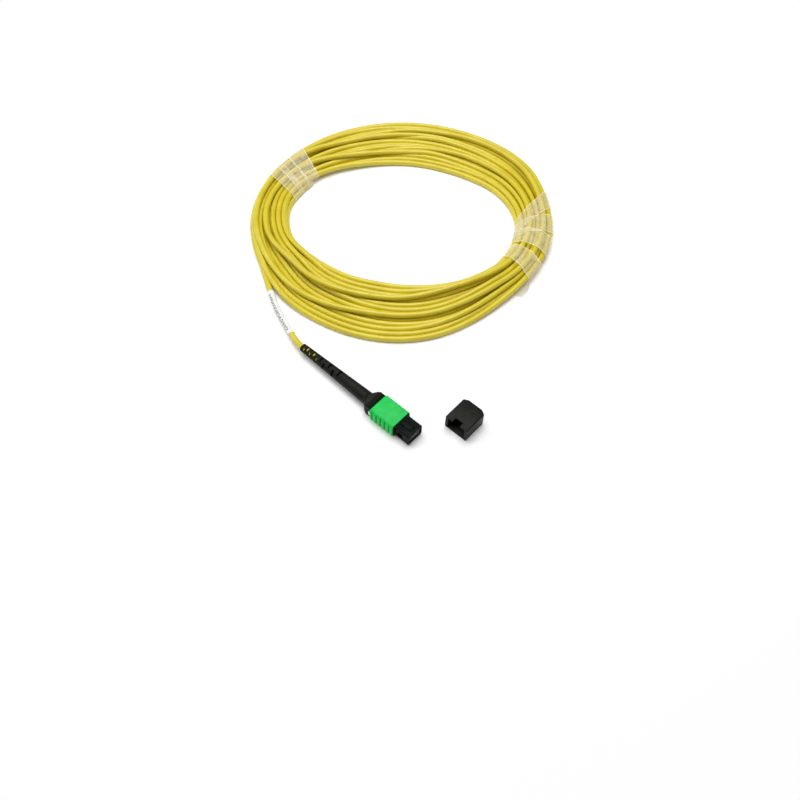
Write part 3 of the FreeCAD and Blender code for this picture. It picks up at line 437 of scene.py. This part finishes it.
wander = [drift() for _ in range(PAIRS)]


def smooth(value):
    value = min(max(value, 0.0), 1.0)
    return value * value * (3 - 2 * value)


def bell(distance, width):
    """1 at no distance, falling off to both sides."""
    return math.exp(-(distance / width) ** 2)


def hole_edge(angle):
    """Distance of the opening's edge from the middle of the coil."""
    turned = math.radians(angle)
    return 1 / math.hypot(math.cos(turned) / HOLE_LONG, math.sin(turned) / HOLE_SHORT)


def place_of(travel):
    """Place across the bundle, and how far the cable is on top of it, from 0 to 1."""
    passed = (CROSS_ANGLE - 360 - LEAD_ANGLE + travel) / 360
    done = max(math.floor(passed), -1)
    share = smooth((passed - done) * 360 / CROSSING) if passed > 0 else 1.0
    progress = ((passed - done) * 360 - CROSSING) / (360 - CROSSING)
    before, after = PASSES[max(done, 0)], PASSES[min(done + 1, len(PASSES) - 1)]
    start = before[-1] if isinstance(before, tuple) else before
    if not isinstance(after, tuple):
        return start + (after - start) * share, (1 - share) * isinstance(before, tuple)
    reach = max(progress, 0.0) * (len(after) - 1)
    index = min(int(reach), len(after) - 2)
    stop = after[index] + (after[index + 1] - after[index]) * smooth(reach - index)
    return start + (stop - start) * share, share


def ride_weights(facing):
    """How readily each pair of turns slides together here: uneven, with one open gap at the front left."""
    ride = []
    for waves in wander:
        total = sum(size * math.sin(wave * math.radians(facing) + phase) for size, phase, wave in waves)
        ride.append(max(0.08, 1.0 + 1.1 * total))
    # The three outer pairs hardly ride there, and the next one takes up what they leave.
    crevice = bell(facing - CREVICE_ANGLE, CREVICE_WIDTH)
    ride[2] += 3.0 * crevice
    for pair in (3, 4, 5):
        ride[pair] *= 1 - 0.9 * crevice
    return ride


def squeezed(facing, present, width):
    """Gaps between the places that fill the bundle's width, some pairs of turns riding over others."""
    flat = TOUCH + LOOSE * math.sin(math.radians(facing)) ** 4
    gaps = [flat] * TURNS
    excess = flat * sum(present) - width
    ride = ride_weights(facing)
    for _ in range(40):
        free = [pair for pair in range(PAIRS) if gaps[2 * pair] > CLOSEST + 0.01]
        free = [pair for pair in free if present[2 * pair] > 0.02]
        weight = sum(ride[pair] for pair in free)
        if excess < 0.01 or not free:
            break
        for pair in free:
            both = present[2 * pair] + present[2 * pair + 1]
            less = min(0.5 * excess * ride[pair] / weight / both, gaps[2 * pair] - CLOSEST)
            gaps[2 * pair] -= less
            gaps[2 * pair + 1] -= less
        excess = sum(gap * part for gap, part in zip(gaps, present)) - width
    return gaps


def spread(facing):
    """Distances from the middle of the coil for the places 0 to 12, at this angle round it."""
    rear = smooth((CROSS_ANGLE - facing) / CROSSING) if facing > 0 else 1.0
    if facing >= CROSS_ANGLE:
        low = smooth((LAST_ANGLE + 20 - facing) / 40)
    else:
        low = 1 - rear if facing > 0 else 0.0
    high = TURNS - rear if facing > 0 else TURNS - 1 + smooth((LEAD_ANGLE + 30 - facing) / 30)
    inner, outer = STRAY[round(facing + 180) // STEP % len(STRAY)]
    inside, outside = hole_edge(facing) + HALF + inner, OUTER - HALF + outer
    width = outside - inside
    present = [min(max(high - i, 0.0), 1.0) - min(max(low - i, 0.0), 1.0) for i in range(TURNS)]
    even = smooth(facing / EVEN_FROM) * smooth((180 - facing) / EVEN_FROM) if facing > 0 else 0.0
    reach = [0.0]
    for gap in squeezed(facing, present, width):
        reach.append(reach[-1] + gap * (1 - even) + width / sum(present) * even)

    def along(place):
        index = min(max(int(place), 0), TURNS - 1)
        return reach[index] + (reach[index + 1] - reach[index]) * (place - index)

    middle = (along(low) + along(high)) / 2
    return lambda place: (inside + outside) / 2 + along(place) - middle


def rests_on(item, others):
    """Height at which a turn lies on those under it."""
    height = 0.0
    for other in others:
        gap = abs(item[1] - other[1])
        if gap < TOUCH:
            height = max(height, other[2] + math.sqrt(TOUCH ** 2 - gap ** 2))
    return height


def settle(facing, items):
    """Push table turns apart, then let the others down onto them: item is place, distance, height, top."""
    items.sort(key=lambda item: item[0])
    base = [item for item in items if item[3] < 0.5]
    table = [item for item in base if round(item[0]) % 2 == 0 and abs(item[0] - round(item[0])) < 0.3]
    for _ in range(30):
        for near, far in zip(table, table[1:]):
            short = TOUCH - (far[1] - near[1])
            if short > 0:
                near[1] -= short / 2
                far[1] += short / 2
    pull = LEAN * bell(abs(facing - LEAN_ANGLE) % 360, LEAN_WIDTH)
    for index, item in enumerate(base):
        beside = base[max(index - 1, 0):index] + base[index + 1:index + 2]
        flat = [[other[0], other[1], 0.0] for other in beside]
        odd = 0.5 - 0.5 * math.cos(math.pi * item[0])
        if item not in table:
            high = smooth(odd * rests_on(item, flat) / 1.3 - 1)
            item[1] += math.copysign(pull, item[0] - CREVICE_PLACE) * high
        item[2] = odd * rests_on(item, flat)
    above = []
    for item in items:
        if item[3] > 0:
            others = [other for other in base if other is not item] + above
            item[2] = item[2] * (1 - item[3]) + min(rests_on(item, others), HIGHEST) * item[3]
            above.append(item)


def lay_coil():
    """Points of every turn: even places lie on the table, the others rest between their neighbours."""
    total = LEAD_ANGLE - (LAST_ANGLE - 360 * len(PASSES))
    stations = {}
    order = []
    for number in range(int(total // STEP) + 1):
        angle = LEAD_ANGLE - number * STEP
        facing = (angle + 180) % 360 - 180
        place, top = place_of(number * STEP)
        item = [place, spread(facing)(place), 0.0, top]
        stations.setdefault(facing, []).append(item)
        order.append((facing, item))
    for facing, items in stations.items():
        settle(facing, items)
    # The spline of order 3 runs inside its points, so they stand outside the turns by this much.
    swell = 8 / (6 + 2 * math.cos(math.radians(STEP)))
    points = []
    for facing, item in order:
        turned = math.radians(facing + COIL_TURN)
        flat = COIL_CENTRE + Vector((math.cos(turned), math.sin(turned))) * item[1] * swell
        points.append(Vector((flat.x, flat.y, HALF + TABLE_GAP + item[2])) * MM)
    return points


# The free cable in mm, from inside the boot over the table to the coil
LEAD = [
    (-29.6, 0.0, 3.9),
    (-55.0, 0.0, 3.9),
    (-61.5, 0.0, 3.9),
    (-74.0, 4.4, 2.4),
    (-89.0, 10.1, 1.75),
    (-104.5, 18.9, 1.6),
    (-115.5, 25.1, 1.6),
]
cable_points = [Vector(spot) * MM for spot in LEAD] + lay_coil()


def new_spline(name, points, bevel):
    curve = bpy.data.curves.new(name, "CURVE")
    curve.dimensions = "3D"
    curve.resolution_u = 4
    spline = curve.splines.new("NURBS")
    spline.points.add(len(points) - 1)
    for spot, point in zip(spline.points, points):
        spot.co = (*point, 1.0)
    spline.order_u = 3
    spline.use_endpoint_u = True
    curve.bevel_depth = bevel
    curve.bevel_resolution = 6
    curve.use_fill_caps = bevel > 0
    return curve


def centreline(points):
    """The cable's own line, as points close together."""
    plain = bpy.data.objects.new("line", new_spline("line", points, 0.0))
    bpy.context.scene.collection.objects.link(plain)
    mesh = bpy.data.meshes.new_from_object(plain)
    line = [vertex.co.copy() for vertex in mesh.vertices]
    bpy.data.objects.remove(plain)
    bpy.data.meshes.remove(mesh)
    return line


cable = bpy.data.objects.new("round_cable", new_spline("round_cable", cable_points, CABLE / 2))
bpy.context.scene.collection.objects.link(cable)
cable.data.materials.append(JACKET)
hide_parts("cable_lead", "cable_coil")
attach(cable, "plug")


# ---------------------------------------------------------------- the wrapped label

LABEL_FROM = Vector((-68.6, 2.5, 3.0)) * MM
LABEL_TO = Vector((-95.3, 13.2, 1.9)) * MM
LABEL_START = 20   # degrees round the cable
LABEL_TURN = 392   # degrees, so that the free edge overlaps
LABEL_GAP = 0.05   # mm between the jacket and the sheet
LABEL_RISE = 0.13  # mm that the sheet rises on its way round, to clear itself


def label_material():
    """Glossy vinyl under a clear laminate, with a row of plain dark print ticks along it."""
    material = new_material("laminated_white_vinyl")
    tree = material.node_tree
    chart = add_node(tree, "ShaderNodeUVMap", uv_map="wrap").outputs["UV"]
    parts = add_node(tree, "ShaderNodeSeparateXYZ", {"Vector": chart})
    size = {"Vector": chart, "Scale": 34.0, "Detail": 0.0, "Randomness": 1.0}
    cells = add_node(tree, "ShaderNodeTexVoronoi", size, voronoi_dimensions="2D", distance="CHEBYCHEV")
    ticks = maths(tree, "LESS_THAN", cells.outputs["Distance"], 0.36)
    row = maths(tree, "LESS_THAN", distance_from(tree, parts.outputs["Y"], 0.30), 0.085)
    inner = maths(tree, "LESS_THAN", distance_from(tree, parts.outputs["X"], 0.5), 0.42)
    printed = maths(tree, "MULTIPLY", maths(tree, "MULTIPLY", row, inner), ticks)
    finish_surface(tree, {
        "Base Color": mixed_tones(tree, printed, "#ECECE8", "#2F3431"),
        "Roughness": 0.22,
        "Coat Weight": 0.4,
        "Coat Roughness": 0.1,
    })
    return material


def nearest(line, spot):
    return min(range(len(line)), key=lambda i: (line[i] - spot).length)


def wrapped_label(line):
    """A sheet rolled round the cable, its free edge overlapping itself."""
    path = line[nearest(line, LABEL_FROM):nearest(line, LABEL_TO) + 1]
    lengths = [0.0]
    for one, two in zip(path, path[1:]):
        lengths.append(lengths[-1] + (two - one).length)
    work = charted_sheet("wrap", 36, 40)
    for vertex in work.verts:
        along, around = vertex.co.x + 0.5, vertex.co.y + 0.5
        reach = along * lengths[-1]
        index = next(i for i in range(1, len(path)) if lengths[i] >= reach - 1e-9)
        share = (reach - lengths[index - 1]) / (lengths[index] - lengths[index - 1])
        middle = path[index - 1].lerp(path[index], share)
        way = (path[min(index + 1, len(path) - 1)] - path[max(index - 2, 0)]).normalized()
        side = way.cross(Vector((0, 0, 1))).normalized()
        up = side.cross(way)
        angle = math.radians(LABEL_START + LABEL_TURN * around)
        radius = CABLE / 2 + (LABEL_GAP + LABEL_RISE * around) * MM
        vertex.co = middle + (side * math.cos(angle) + up * math.sin(angle)) * radius
    piece = bent_piece(work, "wrapped_label", label_material())
    thick = piece.modifiers.new("vinyl", "SOLIDIFY")
    thick.thickness = 0.07 * MM
    thick.offset = 0.0
    return piece


line = centreline(cable_points)
label = wrapped_label(line)
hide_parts("cable_label")
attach(label, "plug")


# ---------------------------------------------------------------- the film ties

SPOTS = 120         # points round a section of the bundle
FILM_GAP = 0.03     # mm between the turns and the first wrap
FILM_RADIUS = 72    # mm from the middle of the coil to the middle of the bundle
FILM_SLACK = 0.4    # mm
WRAP_RISE = 0.15    # mm from wrap to wrap
TAIL_FROM = 0.965   # share of a strip's length at which its torn tail starts


def film_material():
    """Clear stretch film: nearly see-through, faintly milky, bright along its cut edges."""
    material = new_material("clear_stretch_film")
    tree = material.node_tree
    chart = add_node(tree, "ShaderNodeUVMap", uv_map="film").outputs["UV"]
    parts = add_node(tree, "ShaderNodeSeparateXYZ", {"Vector": chart})
    place = add_node(tree, "ShaderNodeTexCoord").outputs["Object"]
    size = {"Vector": place, "Scale": 1 / (6.0 * MM), "Detail": 3.0, "Distortion": 1.2}
    crease = add_node(tree, "ShaderNodeTexNoise", size).outputs["Fac"]
    rim = spanned(tree, distance_from(tree, parts.outputs["Y"], 0.5), (0.465, 0.0), (0.485, 0.65))
    haze = spanned(tree, crease, (0.35, 0.20), (0.75, 0.42))
    folded = spanned(tree, parts.outputs["X"], (0.972, 0.0), (0.985, 0.5))
    bump = add_node(tree, "ShaderNodeBump", {"Height": crease, "Distance": 0.25 * MM})
    finish_surface(tree, {
        "Base Color": mixed_tones(tree, folded, "#FBF4D2", "#C9D2C6"),
        "Roughness": 0.18,
        "Alpha": maths(tree, "ADD", maths(tree, "ADD", rim, haze), folded),
        "Normal": bump.outputs["Normal"],
    })
    return material


FILM = film_material()


def bundle_sections(path):
    """The turns' places at every degree round the coil, as (distance, height) in mm."""
    found = [[] for _ in range(360)]
    before = None
    for spot in path:
        flat = Vector((spot.x, spot.y)) / MM - COIL_CENTRE
        angle = math.degrees(math.atan2(flat.y, flat.x)) - COIL_TURN
        here = (angle, flat.length, spot.z / MM)
        if before and flat.length < OUTER + 6:
            turn = (angle - before[0] + 180) % 360 - 180
            for degree in range(math.ceil(before[0] + turn), math.floor(before[0]) + 1):
                share = (degree - before[0]) / turn
                place = [old + (new - old) * share for old, new in zip(before[1:], here[1:])]
                found[degree % 360].append(place)
        before = here
    return found


def wrapping(turns, lift):
    """Outline stretched round the turns of one section, from its inside over the top, in even steps."""
    corners = []
    for step in range(SPOTS + 1):
        way = math.radians(180 - 360 / SPOTS * step)
        way = (math.cos(way), math.sin(way))
        furthest = max(turns, key=lambda turn: turn[0] * way[0] + turn[1] * way[1])
        corners.append(Vector(furthest) + Vector(way) * (HALF + FILM_GAP + lift))
    reach = [0.0]
    for one, two in zip(corners, corners[1:]):
        reach.append(reach[-1] + (two - one).length)
    even = []
    index = 1
    for step in range(SPOTS):
        goal = reach[-1] * step / SPOTS
        while reach[index] < goal:
            index += 1
        share = (goal - reach[index - 1]) / max(reach[index] - reach[index - 1], 1e-6)
        even.append(corners[index - 1].lerp(corners[index], share))
    return even


sections = bundle_sections(line)
outlines = {}


def film_point(section, angle, lift):
    """A point on the film round the bundle: section 180 is its inside, then its top, outside and bottom."""
    degree = math.floor(angle)
    share = (180 - section) % 360 * SPOTS / 360
    corners = []
    for turned in (degree, degree + 1):
        key = (turned % 360, round(lift, 1))
        if key not in outlines:
            outlines[key] = wrapping(sections[turned % 360], key[1])
        outline = outlines[key]
        index = int(share) % SPOTS
        corners.append(outline[index].lerp(outline[(index + 1) % SPOTS], share - int(share)))
    distance, height = corners[0].lerp(corners[1], angle - degree)
    way = math.radians(angle + COIL_TURN)
    flat = COIL_CENTRE + Vector((math.cos(way), math.sin(way))) * distance
    return Vector((flat.x, flat.y, max(height, 0.01))) * MM


def film_tie(name, node, route, width_mm, tail_mm):
    """A strip wound round the bundle along a route of (section, angle), its torn tail standing off."""
    wraps = abs(route[-1][0] - route[0][0]) / 360
    work = charted_sheet("film", int(wraps * 60), 8)
    for vertex in work.verts:
        along, across = vertex.co.x + 0.5, vertex.co.y
        reach = along * (len(route) - 1)
        index = min(int(reach), len(route) - 2)
        share = reach - index
        section, angle = (old + (new - old) * share for old, new in zip(route[index], route[index + 1]))
        tail = smooth((along - TAIL_FROM) / (1 - TAIL_FROM))
        angle += math.degrees(across * width_mm * (1 - 0.55 * tail) / FILM_RADIUS)
        # Each wrap lies on the one before, and the film stands off at the bundle's inside and outside.
        slack = FILM_SLACK * math.cos(math.radians(section)) ** 4
        lift = 0.1 + WRAP_RISE * along * wraps + slack + tail_mm * tail
        vertex.co = film_point(section, angle, lift)
    piece = bent_piece(work, name, FILM)
    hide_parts(node)
    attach(piece, "plug")
    return piece


right_film = film_tie("film_wrap_right", "film_tie_right", [
    (180, -4), (0, 13), (-180, -6), (-360, -1), (-540, -9), (-720, -13), (-900, -19.5),
    (-1080, -27), (-1110, -36),
], width_mm=11.5, tail_mm=4.6)
left_film = film_tie("film_wrap_left", "film_tie_left", [
    (180, 162.5), (0, 153), (-180, 157), (-360, 148), (-540, 150), (-720, 140), (-760, 138),
], width_mm=10.5, tail_mm=1.6)


# ---------------------------------------------------------------- floor, light, camera


def pale_floor():
    """White paper: it shows white, and keeps a soft shadow under the part."""
    work = bmesh.new()
    bmesh.ops.create_grid(work, x_segments=1, y_segments=1, size=3.0)
    bmesh.ops.translate(work, vec=Vector((0.0, 0.0, -TABLE_GAP)) * MM, verts=work.verts)
    material = new_material("white_paper")
    tree = material.node_tree
    rays = add_node(tree, "ShaderNodeLightPath").outputs
    direct = maths(tree, "MAXIMUM", rays["Is Camera Ray"], rays["Is Glossy Ray"])
    shown = maths(tree, "MAXIMUM", direct, rays["Is Transmission Ray"])
    spot = {0: add_node(tree, "ShaderNodeTexCoord").outputs["Object"], 1: (-0.07, 0.08, 0.0)}
    reach = add_node(tree, "ShaderNodeVectorMath", spot, operation="DISTANCE").outputs["Value"]
    fade = spanned(tree, reach, (0.12, 0.05), (0.36, 1.0), interpolation_type="SMOOTHSTEP")
    paper = add_node(tree, "ShaderNodeBsdfDiffuse", {"Color": linear("#FFFFFF")})
    glow = add_node(tree, "ShaderNodeEmission", {"Color": (1, 1, 1, 1), "Strength": 1.0})
    mixed = add_node(tree, "ShaderNodeMixShader", {
        0: maths(tree, "MULTIPLY", shown, fade), 1: paper.outputs["BSDF"], 2: glow.outputs["Emission"],
    })
    add_node(tree, "ShaderNodeOutputMaterial", {"Surface": mixed.outputs["Shader"]})
    floor = new_piece("paper_floor", new_mesh(work, "paper_floor"), material)


def white_world():
    """White behind everything seen, and a dimmer light from all round."""
    world = bpy.data.worlds.new("studio")
    bpy.context.scene.world = world
    world.use_nodes = True
    tree = world.node_tree
    tree.nodes.clear()
    rays = add_node(tree, "ShaderNodeLightPath").outputs
    shown = maths(tree, "MAXIMUM", rays["Is Camera Ray"], rays["Is Transmission Ray"])
    sky = {"Color": (1, 1, 1, 1), "Strength": spanned(tree, shown, (0.0, 0.28), (1.0, 1.0))}
    background = add_node(tree, "ShaderNodeBackground", sky)
    add_node(tree, "ShaderNodeOutputWorld", {"Surface": background.outputs["Background"]})


def softbox(name, spot, target, size, power):
    lamp = bpy.data.lights.new(name, "AREA")
    lamp.shape = "SQUARE"
    lamp.size = size
    lamp.energy = power
    holder = bpy.data.objects.new(name, lamp)
    bpy.context.scene.collection.objects.link(holder)
    holder.location = spot
    holder.rotation_euler = (Vector(target) - Vector(spot)).to_track_quat("-Z", "Y").to_euler()


def studio_camera():
    """Above the plug's right front, looking back over the coil."""
    across = Vector((0.7401, 0.6723, 0.0160)).normalized()
    back = Vector((0.3551, -0.4109, 0.8397)).normalized()
    upward = back.cross(across).normalized()
    across = upward.cross(back)
    lens = bpy.data.cameras.new("studio_camera")
    lens.sensor_width = 36.0
    lens.lens = 36.0
    lens.clip_start = 0.01
    camera = bpy.data.objects.new("studio_camera", lens)
    bpy.context.scene.collection.objects.link(camera)
    turned = Matrix((across, upward, back)).transposed().to_4x4()
    camera.matrix_world = Matrix.Translation(Vector((131.2, -144.6, 319.0)) * MM) @ turned
    bpy.context.scene.camera = camera


pale_floor()
white_world()
softbox("overhead", (-0.15, 0.15, 0.75), (-0.06, 0.07, 0.0), size=0.6, power=5.7)
softbox("left_fill", (-0.65, -0.35, 0.45), (-0.06, 0.05, 0.0), size=0.5, power=1.5)
studio_camera()

scene = bpy.context.scene
scene.view_settings.view_transform = "Standard"
